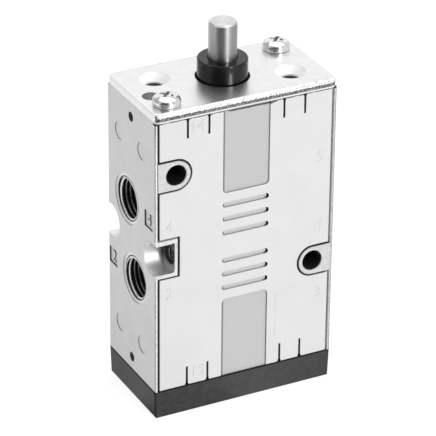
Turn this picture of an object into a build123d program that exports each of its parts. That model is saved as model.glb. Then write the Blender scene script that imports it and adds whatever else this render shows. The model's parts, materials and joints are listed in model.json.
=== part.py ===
from build123d import *

import os
from math import atan, degrees

# Plunger operated 5/2 spool valve. Millimetres, +Z up, front face towards -Y.
# The origin is the middle of the end cap's underside.

# Body casting
body_width = 55.5
body_depth = 30.0
body_height = 83.0
body_edge_radius = 0.6

# End cap under the body
cap_height = 8.7
cap_floor = 2.5
cap_draft = 0.3
cap_corner_radius = 0.6
cap_foot_radius = 0.5
cap_top_break = 0.2
cap_seal_radius = 10.2
cap_seal_width = 1.6
cap_seal_depth = 1.2
cap_seal_bevel = 0.3

# Gasket and stamped plate on the body
gasket_thickness = 0.5
gasket_inset = 0.3
plate_thickness = 2.3
plate_corner_radius = 1.8
plate_rollover = 0.6

# Fits and clearances
sliding_gap = 0.05
seated_gap = 0.05
loose_gap = 0.3
bevel_angle = 90.0

# Plunger and its guide bush
plunger_radius = 4.0
plunger_reach = 10.7
plunger_chamfer = 0.4
plunger_head_radius = 6.0
plunger_head_height = 2.5
plunger_travel = 5.0
collar_radius = 7.05
collar_rise = 5.65
collar_edge_radius = 0.4
collar_mouth = 0.3
plate_collar_gap = 0.6
flange_radius = 10.2
flange_pocket_depth = 1.9
wiper_width = 1.5
wiper_height = 1.8
wiper_lip_height = 0.6
wiper_bevel = 0.5

# Spool, with a seal on each side of every chamber
spool_bore_radius = 8.5
spool_radius = 5.0
spool_neck_radius = 3.2
neck_taper = 0.8
chamber_pitch = 10.6
seal_count = 6
seal_thickness = 2.4
seal_lip = 0.9
seal_bevel = 0.6
edge_gap = 1.3
spool_overrun = 3.0
cage_wall_gap = 0.4
cage_waist = 1.3
cage_rim = 1.2
cage_windows = 6
cage_window_width = 3.2
sleeve_inner_radius = 6.3

# Return spring and its seat
wire_radius = 0.45
wire_sides = 8
coil_radius = 4.3
coil_pitch = 2.45
spring_pocket_gap = 0.45
seat_flange_height = 2.2
seat_pilot_length = 3.0
seat_pilot_bevel = 0.8
seat_stem_radius = 2.0
seat_stem_length = 4.0

# Ports, bored to the thread's major diameter (G1/4)
port_radius = 6.58
port_mouth_radius = 7.45
port_mouth_depth = 0.4
port_depth = 12.5
passage_radius = 3.0
left_port_rise = 11.3
left_port_sway = 2.35
left_face_shift = 0.4
right_port_pitch = 21.4

# Cross holes for fixing the valve, with a boss round each one on the front
cross_hole_radius = 2.85
cross_hole_bevel = 0.45
cross_hole_inset = 6.45
left_cross_hole_rise = 25.1
right_cross_hole_drop = 11.1
boss_radius = 4.3

# Notches in the left-hand edges, with a tapped hole (M5) in each floor
notch_radius = 5.1
notch_axis_inset = 2.35
notch_depth = 5.9
notch_floor_radius = 0.75
notch_rim_reach = 7.05
notch_rim_half_height = 5.7
notch_hole_radius = 2.1
notch_hole_mouth_radius = 2.6
notch_hole_inset = 3.0
notch_hole_depth = 10.0

# Vents of the two end chambers, and marks left on the left side by moulding
vent_radius = 1.42
vent_inset = 3.9
ejector_mark_radius = 2.6
ejector_mark_depth = 0.15
ejector_mark_sway = 7.05
ejector_mark_inset = 11.35
label_square = 5.0
label_square_depth = 0.4
label_square_inset = 3.7
label_square_rise = 11.05

# Front cover between the body's rims
rim_width = 0.9
casting_edge_break = 0.12
cover_gap = 0.45
cover_setback = 0.15
cover_edge_break = 0.2
cover_thickness = 1.2
cover_thin_spot = 0.45
thin_spot_margin = 1.0
field_width = 14.3
field_depth = 0.4
field_gap_half = 16.55
field_corner_radius = 1.3
rib_slot_pitch = 4.3
rib_slot_height = 1.6
rib_slot_depth = 0.6
pattern_drop = 0.2
tongue_offset = 14.65
tongue_width = 5.8
tongue_length = 6.0
tongue_slot_width = 0.65
tongue_slot_mouth = 1.25
tongue_slot_flare = 1.0
hook_width = 4.6
hook_drop = 1.2
hook_height = 1.5
hook_depth = 0.5
hook_root = 0.3

# Screws, M4 pan head, in holes at the two opposite corners
screw_radius = 2.0
screw_head_radius = 3.95
screw_head_height = 2.9
screw_head_side = 1.5
screw_grip = 8.0
screw_hole_depth = 10.0
screw_inset_x = 6.1
screw_inset_y = 5.5
screw_clearance = 0.25
cap_screw_web = 4.2
cap_screw_head_gap = 0.3

# Spare fixing holes for another actuator, and a locating hole
spare_hole_inset_x = 9.9
spare_hole_inset_y = 9.0
spare_hole_radius = 2.05
spare_sink_radius = 4.5
spare_hole_depth = 8.0
locating_hole_inset_x = 4.4
locating_hole_inset_y = 11.5
locating_hole_radius = 2.5
locating_hole_depth = 3.0

# Levels and faces that follow from the sizes above
body_bottom = cap_height
body_top = body_bottom + body_height
body_middle = body_bottom + body_height / 2
plate_bottom = body_top + gasket_thickness
plate_top = plate_bottom + plate_thickness
flange_seat = body_top - flange_pocket_depth
collar_top = plate_top + collar_rise
plunger_top = collar_top + plunger_reach
left_face = -body_width / 2
right_face = body_width / 2
front_face = -body_depth / 2
back_face = body_depth / 2
cover_face = front_face + cover_setback
cover_back = cover_face + cover_thickness

seal_levels = [
    body_middle + (index - (seal_count - 1) / 2) * chamber_pitch
    for index in range(seal_count)
]
seal_half = seal_thickness / 2
spool_top = flange_seat - plunger_head_height
spool_bottom = seal_levels[0] - seal_half - spool_overrun
seat_face = spool_bottom - seat_flange_height
spool_necks = [
    (
        seal_levels[lower] + seal_half + edge_gap,
        seal_levels[lower + 1] - seal_half - edge_gap + plunger_travel,
    )
    for lower in (1, 3)
]
packing_radius = spool_bore_radius - seated_gap

os.makedirs("parts", exist_ok=True)

# Planes of the faces that are worked on
front_plane = Plane(origin=(0, front_face, body_middle), x_dir=(1, 0, 0), z_dir=(0, -1, 0))
cover_plane = front_plane.offset(-cover_setback)
cover_seat_plane = cover_plane.offset(-cover_thickness)
back_plane = Plane(origin=(0, back_face, body_middle), x_dir=(-1, 0, 0), z_dir=(0, 1, 0))
left_plane = Plane(origin=(left_face, 0, body_middle), x_dir=(0, -1, 0), z_dir=(-1, 0, 0))
right_plane = Plane(origin=(right_face, 0, body_middle), x_dir=(0, 1, 0), z_dir=(1, 0, 0))
top_plane = Plane.XY.offset(body_top)
bottom_plane = Plane(origin=(0, 0, body_bottom), x_dir=(1, 0, 0), z_dir=(0, 0, -1))

# Places on those planes. The left plane's own x runs towards the front.
left_ports = [
    (-left_port_sway - left_face_shift, left_port_rise),
    (left_port_sway - left_face_shift, -left_port_rise),
]
right_ports = [(0, right_port_pitch), (0, 0), (0, -right_port_pitch)]
cross_hole_x = right_face - cross_hole_inset
cross_holes = [(-cross_hole_x, left_cross_hole_rise), (cross_hole_x, -right_cross_hole_drop)]
screw_x = right_face - screw_inset_x
screw_y = back_face - screw_inset_y
top_screws = [(-screw_x, -screw_y), (screw_x, screw_y)]
cap_screws = [(-screw_x, screw_y), (screw_x, -screw_y)]
spare_hole_x = right_face - spare_hole_inset_x
spare_hole_y = back_face - spare_hole_inset_y
spare_holes = [(-spare_hole_x, spare_hole_y), (spare_hole_x, -spare_hole_y)]
locating_holes = [(left_face + locating_hole_inset_x, front_face + locating_hole_inset_y)]
vents = [(0, body_height / 2 - vent_inset), (0, vent_inset - body_height / 2)]
label_square_x = back_face - label_square_inset
label_squares = [
    (label_square_x - left_face_shift, label_square_rise),
    (-label_square_x - left_face_shift, -label_square_rise),
]
ejector_marks = [
    (sway - left_face_shift, rise)
    for sway in (-ejector_mark_sway, ejector_mark_sway)
    for rise in (body_height / 2 - ejector_mark_inset, ejector_mark_inset - body_height / 2)
]
tongue_places = [
    (side * tongue_offset, end)
    for side in (-1, 1)
    for end in (-1, 1)
]


def section_plane(level):
    # upright section through the valve's axis, its origin at this level
    return Plane(origin=(0, 0, level), x_dir=(1, 0, 0), z_dir=(0, -1, 0))


def panel_outline(clearance):
    # the field between the rims, without the notch's rim and the two bosses
    Rectangle(body_width - 2 * (rim_width + clearance), body_height)
    with Locations((left_face + (notch_rim_reach + clearance) / 2, 0)):
        Rectangle(
            notch_rim_reach + clearance,
            2 * (notch_rim_half_height + clearance),
            mode=Mode.SUBTRACT,
        )
    for place_x, rise in cross_holes:
        edge_x = left_face if place_x < 0 else right_face
        with Locations((place_x, rise)):
            Circle(boss_radius + clearance, mode=Mode.SUBTRACT)
        with Locations(((place_x + edge_x) / 2, rise)):
            Rectangle(
                abs(edge_x - place_x),
                2 * (boss_radius + clearance),
                mode=Mode.SUBTRACT,
            )


def thin_spot_outline():
    # where the wall of the notch's tapped hole stands up behind the cover
    start = left_face + notch_rim_reach + cover_gap
    length = left_face + notch_depth + notch_hole_depth + thin_spot_margin - start
    with Locations((start + length / 2, 0)):
        Rectangle(length, 2 * notch_hole_mouth_radius)


# Valve body
with BuildPart() as valve_body:
    with BuildSketch(Plane.XY.offset(body_bottom)):
        RectangleRounded(body_width, body_depth, body_edge_radius)
    extrude(amount=body_height)

    with BuildSketch(front_plane):
        panel_outline(0)
    extrude(amount=-(cover_setback + cover_thickness), mode=Mode.SUBTRACT)
    pocket_edges = (
        valve_body.edges()
        .filter_by_position(Axis.Y, front_face, front_face)
        .filter_by(lambda edge: abs(edge.center().X) < body_width / 2 - rim_width + 0.01)
        .filter_by(lambda edge: abs(edge.center().Z - body_middle) < body_height / 2 - 0.01)
    )
    chamfer(pocket_edges, casting_edge_break)
    with BuildSketch(cover_seat_plane):
        thin_spot_outline()
    extrude(amount=cover_thickness - cover_thin_spot)

    # pockets that the cover's four hooks snap into
    for place_x, end in tongue_places:
        hook_middle = end * (body_height / 2 - hook_drop - hook_height / 2)
        with Locations(cover_seat_plane):
            with Locations((place_x, hook_middle)):
                Box(
                    hook_width + 2 * loose_gap,
                    hook_height + 2 * loose_gap,
                    2 * (hook_depth + loose_gap),
                    mode=Mode.SUBTRACT,
                )

    # spool bore with the pocket of the guide bush's flange
    with Locations(top_plane):
        CounterBoreHole(
            radius=spool_bore_radius,
            counter_bore_radius=flange_radius + seated_gap,
            counter_bore_depth=flange_pocket_depth,
            depth=body_height,
        )

    # threaded ports and the passages from their floors to the spool bore
    for plane, places in ((left_plane, left_ports), (right_plane, right_ports)):
        with Locations(plane):
            with Locations(*places):
                CounterBoreHole(
                    radius=port_radius,
                    counter_bore_radius=port_mouth_radius,
                    counter_bore_depth=port_mouth_depth,
                    depth=port_depth,
                )
                Hole(radius=passage_radius, depth=body_width / 2 - spool_neck_radius)

    # vents of the end chambers, and the shallow marks round them
    with Locations(left_plane):
        with Locations(*vents):
            Hole(radius=vent_radius, depth=body_width / 2 - spool_neck_radius)
        with Locations(*ejector_marks):
            Hole(radius=ejector_mark_radius, depth=ejector_mark_depth)
        with Locations(*label_squares):
            Box(label_square, label_square, 2 * label_square_depth, mode=Mode.SUBTRACT)

    # cross holes, bevelled at both faces
    for plane, mirrored in ((front_plane, 1), (back_plane, -1)):
        with Locations(plane):
            with Locations(*[(mirrored * x, z) for x, z in cross_holes]):
                CounterSinkHole(
                    radius=cross_hole_radius,
                    counter_sink_radius=cross_hole_radius + cross_hole_bevel,
                    depth=body_depth,
                    counter_sink_angle=bevel_angle,
                )

    # notches, each with its tapped hole
    notch_places = [(side * (body_depth / 2 - notch_axis_inset), 0) for side in (-1, 1)]
    notch_hole_places = [(side * (body_depth / 2 - notch_hole_inset), 0) for side in (-1, 1)]
    with Locations(left_plane):
        with Locations(*notch_places):
            Hole(radius=notch_radius, depth=notch_depth)
    notch_floor_edges = (
        valve_body.edges()
        .filter_by(GeomType.CIRCLE)
        .filter_by(lambda edge: abs(edge.radius - notch_radius) < 0.01)
        .filter_by_position(Axis.X, left_face + notch_depth - 0.1, left_face + notch_depth + 0.1)
    )
    fillet(notch_floor_edges, notch_floor_radius)
    with Locations(left_plane.offset(-notch_depth)):
        with Locations(*notch_hole_places):
            CounterSinkHole(
                radius=notch_hole_radius,
                counter_sink_radius=notch_hole_mouth_radius,
                depth=notch_hole_depth,
                counter_sink_angle=bevel_angle,
            )

    # blind holes for the screws of the plate and of the end cap
    for plane, places in ((top_plane, top_screws), (bottom_plane, cap_screws)):
        with Locations(plane):
            with Locations(*places):
                Hole(radius=screw_radius + sliding_gap, depth=screw_hole_depth)
    with Locations(top_plane):
        with Locations(*spare_holes):
            Hole(radius=spare_hole_radius, depth=spare_hole_depth)
        with Locations(*locating_holes):
            Hole(radius=locating_hole_radius, depth=locating_hole_depth)
valve_body.part.label = "valve_body"
export_step(valve_body.part, "parts/valve_body.step")


# Front cover
with BuildPart() as front_cover:
    with BuildSketch(cover_plane):
        panel_outline(cover_gap)
    extrude(amount=-cover_thickness)
    chamfer(front_cover.faces().sort_by(Axis.Y)[0].edges(), cover_edge_break)
    with BuildSketch(cover_seat_plane):
        thin_spot_outline()
    extrude(amount=cover_thickness - cover_thin_spot, mode=Mode.SUBTRACT)

    # two long fields, open at the cover's ends
    field_height = body_height / 2 - field_gap_half + 2 * field_corner_radius
    with BuildSketch(cover_plane):
        for end in (-1, 1):
            near_edge = end * field_gap_half - pattern_drop
            with Locations((0, near_edge + end * field_height / 2)):
                RectangleRounded(field_width, field_height, field_corner_radius)
    extrude(amount=-field_depth, mode=Mode.SUBTRACT)

    # short slots above and below the middle
    with BuildSketch(cover_plane):
        for step in (-3, -2, -1, 1, 2, 3):
            with Locations((0, step * rib_slot_pitch - pattern_drop)):
                SlotOverall(field_width, rib_slot_height)
    extrude(amount=-rib_slot_depth, mode=Mode.SUBTRACT)

    # slots that free the snap tongues, flared at their open ends
    with BuildSketch(cover_plane):
        for place_x, end in tongue_places:
            cover_end = end * body_height / 2
            flare_start = cover_end - end * tongue_slot_flare
            for side in (-1, 1):
                slot_x = place_x + side * (tongue_width + tongue_slot_width) / 2
                with Locations((slot_x, cover_end - end * tongue_length / 2)):
                    Rectangle(tongue_slot_width, tongue_length)
                Polygon(
                    (slot_x - tongue_slot_width / 2, flare_start),
                    (slot_x - tongue_slot_mouth / 2, cover_end),
                    (slot_x + tongue_slot_mouth / 2, cover_end),
                    (slot_x + tongue_slot_width / 2, flare_start),
                    align=None,
                )
    extrude(amount=-cover_thickness, mode=Mode.SUBTRACT)

    # a hook behind each tongue
    for place_x, end in tongue_places:
        hook_start = body_middle + end * (body_height / 2 - hook_drop)
        with BuildSketch(Plane.YZ.offset(place_x)):
            Polygon(
                (cover_back - hook_root, hook_start),
                (cover_back, hook_start),
                (cover_back + hook_depth, hook_start - end * hook_depth),
                (cover_back + hook_depth, hook_start - end * (hook_height - hook_depth)),
                (cover_back, hook_start - end * hook_height),
                (cover_back - hook_root, hook_start - end * hook_height),
                align=None,
            )
        extrude(amount=hook_width / 2, both=True)
front_cover.part.label = "front_cover"
export_step(front_cover.part, "parts/front_cover.step")


# Top gasket
with BuildPart() as top_gasket:
    with BuildSketch(top_plane):
        RectangleRounded(
            body_width - 2 * gasket_inset,
            body_depth - 2 * gasket_inset,
            plate_corner_radius,
        )
        Circle(flange_radius + loose_gap, mode=Mode.SUBTRACT)
        with Locations(*top_screws):
            Circle(screw_radius + screw_clearance, mode=Mode.SUBTRACT)
        with Locations(*spare_holes):
            Circle(spare_hole_radius + screw_clearance, mode=Mode.SUBTRACT)
        with Locations(*locating_holes):
            Circle(locating_hole_radius, mode=Mode.SUBTRACT)
    extrude(amount=gasket_thickness)
top_gasket.part.label = "top_gasket"
export_step(top_gasket.part, "parts/top_gasket.step")


# Top plate, with the rolled upper edge of a stamping
with BuildPart() as top_plate:
    with BuildSketch(Plane.XY.offset(plate_bottom)):
        RectangleRounded(body_width, body_depth, plate_corner_radius)
    extrude(amount=plate_thickness)
    fillet(top_plate.faces().sort_by(Axis.Z)[-1].edges(), plate_rollover)
    with Locations(Plane.XY.offset(plate_top)):
        Hole(radius=collar_radius + plate_collar_gap, depth=plate_thickness)
        with Locations(*top_screws):
            Hole(radius=screw_radius + screw_clearance, depth=plate_thickness)
        with Locations(*spare_holes):
            CounterSinkHole(
                radius=spare_hole_radius + screw_clearance,
                counter_sink_radius=spare_sink_radius,
                depth=plate_thickness,
                counter_sink_angle=bevel_angle,
            )
        with Locations(*locating_holes):
            Hole(radius=locating_hole_radius, depth=plate_thickness)
top_plate.part.label = "top_plate"
export_step(top_plate.part, "parts/top_plate.step")


def pan_screw_outline(length):
    # half section of a pan head screw, its head's underside on the sketch's x axis
    with BuildLine() as half_section:
        Polyline(
            (0, screw_head_height),
            (0, -length),
            (screw_radius, -length),
            (screw_radius, 0),
            (screw_head_radius, 0),
            (screw_head_radius, screw_head_side),
        )
        TangentArc(
            (0, screw_head_height),
            (screw_head_radius, screw_head_side),
            tangent=(1, 0),
        )
    make_face(half_section.edges())


# Screws of the top plate
with BuildPart() as plate_screw:
    with BuildSketch(section_plane(0)):
        pan_screw_outline(plate_thickness + gasket_thickness + screw_grip)
    revolve(axis=Axis.Z)

with BuildPart() as top_plate_screws:
    with Locations(*[(x, y, plate_top) for x, y in top_screws]):
        add(plate_screw.part)
top_plate_screws.part.label = "top_plate_screws"
export_step(top_plate_screws.part, "parts/top_plate_screws.step")


# Guide bush, its flange held between the body and the plate
wiper_outer_radius = plunger_radius + sliding_gap + wiper_width
wiper_level = (flange_seat + plate_top) / 2
with BuildPart() as guide_bush:
    with BuildSketch(Plane.XY.offset(flange_seat)):
        Circle(flange_radius)
    extrude(amount=plate_bottom - flange_seat)
    with BuildSketch(Plane.XY.offset(plate_bottom)):
        Circle(collar_radius)
    extrude(amount=collar_top - plate_bottom)
    fillet(guide_bush.faces().sort_by(Axis.Z)[-1].edges(), collar_edge_radius)
    with Locations(Plane.XY.offset(collar_top)):
        CounterSinkHole(
            radius=plunger_radius + sliding_gap,
            counter_sink_radius=plunger_radius + sliding_gap + collar_mouth,
            depth=collar_top - flange_seat,
            counter_sink_angle=bevel_angle,
        )
    with Locations((0, 0, wiper_level)):
        Cylinder(wiper_outer_radius, wiper_height, mode=Mode.SUBTRACT)
guide_bush.part.label = "guide_bush"
export_step(guide_bush.part, "parts/guide_bush.step")


# Wiper ring in the bush's groove
with BuildPart() as plunger_seal:
    wiper_half = wiper_height / 2 - seated_gap
    wiper_inner = plunger_radius + sliding_gap
    with BuildSketch(section_plane(wiper_level)):
        Polygon(
            (wiper_inner, -wiper_lip_height / 2),
            (wiper_inner + wiper_bevel, -wiper_half),
            (wiper_outer_radius - seated_gap, -wiper_half),
            (wiper_outer_radius - seated_gap, wiper_half),
            (wiper_inner + wiper_bevel, wiper_half),
            (wiper_inner, wiper_lip_height / 2),
            align=None,
        )
    revolve(axis=Axis.Z)
plunger_seal.part.label = "plunger_seal"
export_step(plunger_seal.part, "parts/plunger_seal.step")


# Plunger, whose head rests under the bush and on the spool
with BuildPart() as plunger:
    with BuildSketch(Plane.XY.offset(spool_top)):
        Circle(plunger_head_radius)
    extrude(amount=plunger_head_height)
    with BuildSketch(Plane.XY.offset(flange_seat)):
        Circle(plunger_radius)
    extrude(amount=plunger_top - flange_seat)
    chamfer(plunger.faces().sort_by(Axis.Z)[-1].edges(), plunger_chamfer)
    chamfer(plunger.faces().sort_by(Axis.Z)[0].edges(), plunger_chamfer)
plunger.part.label = "plunger"
export_step(plunger.part, "parts/plunger.step")


# Spool, turned with two necks
with BuildPart() as spool:
    with BuildSketch(section_plane(0)):
        with BuildLine():
            spool_points = [(0, spool_bottom), (spool_radius - neck_taper, spool_bottom)]
            spool_points.append((spool_radius, spool_bottom + neck_taper))
            for neck_bottom, neck_top in spool_necks:
                spool_points.append((spool_radius, neck_bottom))
                spool_points.append((spool_neck_radius, neck_bottom + neck_taper))
                spool_points.append((spool_neck_radius, neck_top - neck_taper))
                spool_points.append((spool_radius, neck_top))
            spool_points.append((spool_radius, spool_top - neck_taper))
            spool_points.append((spool_radius - neck_taper, spool_top))
            spool_points.append((0, spool_top))
            Polyline(*spool_points, close=True)
        make_face()
    revolve(axis=Axis.Z)
    with Locations(Plane(origin=(0, 0, spool_bottom), x_dir=(1, 0, 0), z_dir=(0, 0, -1))):
        Hole(radius=seat_stem_radius + seated_gap, depth=seat_stem_length + loose_gap)
spool.part.label = "spool"
export_step(spool.part, "parts/spool.step")


# Spool seals, each a ring with a narrow lip
for index, level in enumerate(seal_levels):
    with BuildPart() as spool_seal:
        lip_radius = spool_radius + sliding_gap
        with BuildSketch(section_plane(level)):
            Polygon(
                (lip_radius, -seal_lip / 2),
                (lip_radius + seal_bevel, -seal_half),
                (packing_radius, -seal_half),
                (packing_radius, seal_half),
                (lip_radius + seal_bevel, seal_half),
                (lip_radius, seal_lip / 2),
                align=None,
            )
        revolve(axis=Axis.Z)
    spool_seal.part.label = f"spool_seal_{index + 1}"
    export_step(spool_seal.part, f"parts/spool_seal_{index + 1}.step")


# Spacer cages, each a waisted ring with windows all round
cage_height = chamber_pitch - seal_thickness
cage_inner_radius = spool_radius + cage_wall_gap
for index in range(seal_count - 1):
    cage_bottom = seal_levels[index] + seal_half
    with BuildPart() as spacer_cage:
        with BuildSketch(section_plane(cage_bottom)):
            Polygon(
                (cage_inner_radius, 0),
                (packing_radius, 0),
                (packing_radius, cage_rim),
                (packing_radius - cage_waist, cage_rim),
                (packing_radius - cage_waist, cage_height - cage_rim),
                (packing_radius, cage_height - cage_rim),
                (packing_radius, cage_height),
                (cage_inner_radius, cage_height),
                align=None,
            )
        revolve(axis=Axis.Z)
        with Locations((0, 0, cage_bottom + cage_height / 2)):
            with PolarLocations(packing_radius, cage_windows):
                Box(
                    2 * (packing_radius - spool_neck_radius),
                    cage_window_width,
                    cage_height - 2 * cage_rim,
                    mode=Mode.SUBTRACT,
                )
    spacer_cage.part.label = f"spacer_cage_{index + 1}"
    export_step(spacer_cage.part, f"parts/spacer_cage_{index + 1}.step")


# Sleeves that close the stack at both ends, drilled for the vents
sleeves = (
    ("lower_sleeve", body_bottom, seal_levels[0] - seal_half, body_bottom + vent_inset),
    ("upper_sleeve", seal_levels[-1] + seal_half, flange_seat, body_top - vent_inset),
)
for sleeve_name, sleeve_bottom, sleeve_top, vent_level in sleeves:
    with BuildPart() as sleeve:
        with BuildSketch(Plane.XY.offset(sleeve_bottom)):
            Circle(packing_radius)
            Circle(sleeve_inner_radius, mode=Mode.SUBTRACT)
        extrude(amount=sleeve_top - sleeve_bottom)
        with Locations((0, 0, vent_level)):
            Cylinder(vent_radius, 2 * spool_bore_radius, rotation=(0, 90, 0), mode=Mode.SUBTRACT)
    sleeve.part.label = sleeve_name
    export_step(sleeve.part, f"parts/{sleeve_name}.step")


# Spring seat, its stem in the spool's end and its pilot inside the spring
with BuildPart() as spring_seat:
    pilot_radius = coil_radius - wire_radius - loose_gap
    with BuildSketch(Plane.XY.offset(seat_face)):
        Circle(sleeve_inner_radius - loose_gap)
    extrude(amount=seat_flange_height)
    with BuildSketch(Plane.XY.offset(spool_bottom)):
        Circle(seat_stem_radius)
    extrude(amount=seat_stem_length)
    with BuildSketch(Plane.XY.offset(seat_face)):
        Circle(pilot_radius)
    extrude(amount=-seat_pilot_length)
    chamfer(spring_seat.faces().sort_by(Axis.Z)[0].edges(), seat_pilot_bevel)
spring_seat.part.label = "spring_seat"
export_step(spring_seat.part, "parts/spring_seat.step")


# Return spring, ground flat at both ends
spring_bottom = cap_floor
spring_length = seat_face - spring_bottom
with BuildPart() as return_spring:
    with BuildLine() as coil:
        Helix(
            pitch=coil_pitch,
            height=spring_length,
            radius=coil_radius,
            center=(0, 0, spring_bottom),
        )
    with BuildSketch(Plane(origin=coil.line @ 0, z_dir=coil.line % 0)):
        RegularPolygon(wire_radius, wire_sides)
    sweep(path=coil.line, is_frenet=True)
    split(bisect_by=Plane.XY.offset(spring_bottom), keep=Keep.TOP)
    split(bisect_by=Plane.XY.offset(seat_face), keep=Keep.BOTTOM)
return_spring.part.label = "return_spring"
export_step(return_spring.part, "parts/return_spring.step")


# End cap, drafted towards its foot
cap_seal_outer = cap_seal_radius + cap_seal_width
with BuildPart() as end_cap:
    with BuildSketch(Plane.XY.offset(cap_height)):
        RectangleRounded(body_width, body_depth, cap_corner_radius)
    extrude(amount=-cap_height, taper=degrees(atan(cap_draft / cap_height)))
    fillet(end_cap.faces().sort_by(Axis.Z)[0].edges(), cap_foot_radius)
    chamfer(end_cap.faces().sort_by(Axis.Z)[-1].edges(), cap_top_break)
    with Locations(Plane.XY.offset(cap_height)):
        Hole(
            radius=coil_radius + wire_radius + spring_pocket_gap,
            depth=cap_height - cap_floor,
        )
        with Locations(*[(x, -y) for x, y in cap_screws]):
            Hole(radius=screw_radius + screw_clearance, depth=cap_height)
    with BuildSketch(Plane.XY.offset(cap_height)):
        Circle(cap_seal_outer)
        Circle(cap_seal_radius, mode=Mode.SUBTRACT)
    extrude(amount=-cap_seal_depth, mode=Mode.SUBTRACT)
    with Locations(Plane(origin=(0, 0, 0), x_dir=(1, 0, 0), z_dir=(0, 0, -1))):
        with Locations(*cap_screws):
            Hole(
                radius=screw_head_radius + cap_screw_head_gap,
                depth=cap_height - cap_screw_web,
            )
end_cap.part.label = "end_cap"
export_step(end_cap.part, "parts/end_cap.step")


# Seal in the end cap's groove, bevelled all round
with BuildPart() as end_cap_seal:
    seal_inner = cap_seal_radius + seated_gap
    seal_outer = cap_seal_outer - seated_gap
    with BuildSketch(section_plane(cap_height - cap_seal_depth)):
        Polygon(
            (seal_inner + cap_seal_bevel, 0),
            (seal_outer - cap_seal_bevel, 0),
            (seal_outer, cap_seal_bevel),
            (seal_outer, cap_seal_depth - cap_seal_bevel),
            (seal_outer - cap_seal_bevel, cap_seal_depth),
            (seal_inner + cap_seal_bevel, cap_seal_depth),
            (seal_inner, cap_seal_depth - cap_seal_bevel),
            (seal_inner, cap_seal_bevel),
            align=None,
        )
    revolve(axis=Axis.Z)
end_cap_seal.part.label = "end_cap_seal"
export_step(end_cap_seal.part, "parts/end_cap_seal.step")


# Screws of the end cap, from below
with BuildPart() as cap_screw:
    with BuildSketch(section_plane(0)):
        pan_screw_outline(cap_screw_web + screw_grip)
    revolve(axis=Axis.Z)

with BuildPart() as end_cap_screws:
    with Locations(Plane(origin=(0, 0, cap_height - cap_screw_web), x_dir=(1, 0, 0), z_dir=(0, 0, -1))):
        with Locations(*cap_screws):
            add(cap_screw.part)
end_cap_screws.part.label = "end_cap_screws"
export_step(end_cap_screws.part, "parts/end_cap_screws.step")
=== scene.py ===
import json
from functools import partial, reduce
from math import copysign, cos, pi, radians, sin

import bmesh
import bpy
from mathutils import Matrix, Vector


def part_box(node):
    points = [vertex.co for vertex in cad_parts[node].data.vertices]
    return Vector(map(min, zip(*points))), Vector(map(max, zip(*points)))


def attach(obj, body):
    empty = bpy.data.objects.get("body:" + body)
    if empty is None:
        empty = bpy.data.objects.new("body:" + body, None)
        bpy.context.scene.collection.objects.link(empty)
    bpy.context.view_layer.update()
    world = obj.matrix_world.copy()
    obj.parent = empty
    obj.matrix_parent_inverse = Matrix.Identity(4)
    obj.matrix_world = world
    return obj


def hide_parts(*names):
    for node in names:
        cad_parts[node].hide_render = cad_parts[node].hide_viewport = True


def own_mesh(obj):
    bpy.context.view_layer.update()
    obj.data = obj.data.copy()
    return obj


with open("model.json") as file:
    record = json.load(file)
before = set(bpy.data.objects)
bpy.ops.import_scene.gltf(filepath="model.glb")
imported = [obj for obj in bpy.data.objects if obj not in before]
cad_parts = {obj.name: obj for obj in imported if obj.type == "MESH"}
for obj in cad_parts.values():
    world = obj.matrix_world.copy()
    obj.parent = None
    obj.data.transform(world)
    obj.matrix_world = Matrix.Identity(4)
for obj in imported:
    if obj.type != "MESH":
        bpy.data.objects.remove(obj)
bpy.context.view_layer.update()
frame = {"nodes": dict(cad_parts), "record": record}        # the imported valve: its bodies, nodes, joints and record
mm = 0.001
rightWay = Vector((1, 0, 0))
backWay = Vector((0, 1, 0))
upWay = Vector((0, 0, 1))


def boxMm(node):
    low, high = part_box(node)
    return low / mm, high / mm


bodyLow, bodyHigh = boxMm("valve_body")
coverLow, coverHigh = boxMm("front_cover")
plateLow, plateHigh = boxMm("top_plate")
bodyMiddle = (bodyLow.z + bodyHigh.z) / 2
mounts = {mount["name"]: mount for mount in frame["record"]["mounts"]}
portNames = [name for name in mounts if name.startswith("port_")]
crossNames = [name for name in mounts if name.startswith("cross_hole")]
notchNames = [name for name in mounts if name.startswith("notch_hole")]
print("frame loaded,", len(frame["nodes"]), "nodes")


def mountMm(name):
    return Vector(mounts[name]["pos_m"]) / mm


def placing(origin, xWay, yWay, zWay):
    # the matrix that puts x, y and z along these ways
    matrix = Matrix((xWay, yWay, zWay)).transposed().to_4x4()
    matrix.translation = origin
    return matrix


# Camera, studio light and floor

cameraFit = {
    "azimuth": radians(-27.27),
    "elevation": radians(27.75),
    "roll": radians(0.57),
    "distance": 0.8257,
    "target": Vector((-0.00006, 0.00165, 0.0503)),
    "rise": -0.00057,
    "lens": 242.9,
    "sensor": 36,
    "clip": (0.05, 20),
}


def makeCamera():
    fit = cameraFit
    across = cos(fit["elevation"])
    back = Vector((sin(fit["azimuth"]) * across, -cos(fit["azimuth"]) * across, sin(fit["elevation"])))
    right = Vector((cos(fit["azimuth"]), sin(fit["azimuth"]), 0))
    up = back.cross(right)
    turnedRight = right * cos(fit["roll"]) + up * sin(fit["roll"])
    turnedUp = up * cos(fit["roll"]) - right * sin(fit["roll"])
    place = fit["target"] + turnedUp * fit["rise"] + back * fit["distance"]
    bpy.ops.object.camera_add()
    camera = bpy.context.object
    camera.matrix_world = placing(place, turnedRight, turnedUp, back)
    camera.data.lens = fit["lens"]
    camera.data.sensor_width = fit["sensor"]
    camera.data.clip_start, camera.data.clip_end = fit["clip"]
    bpy.context.scene.camera = camera


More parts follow.
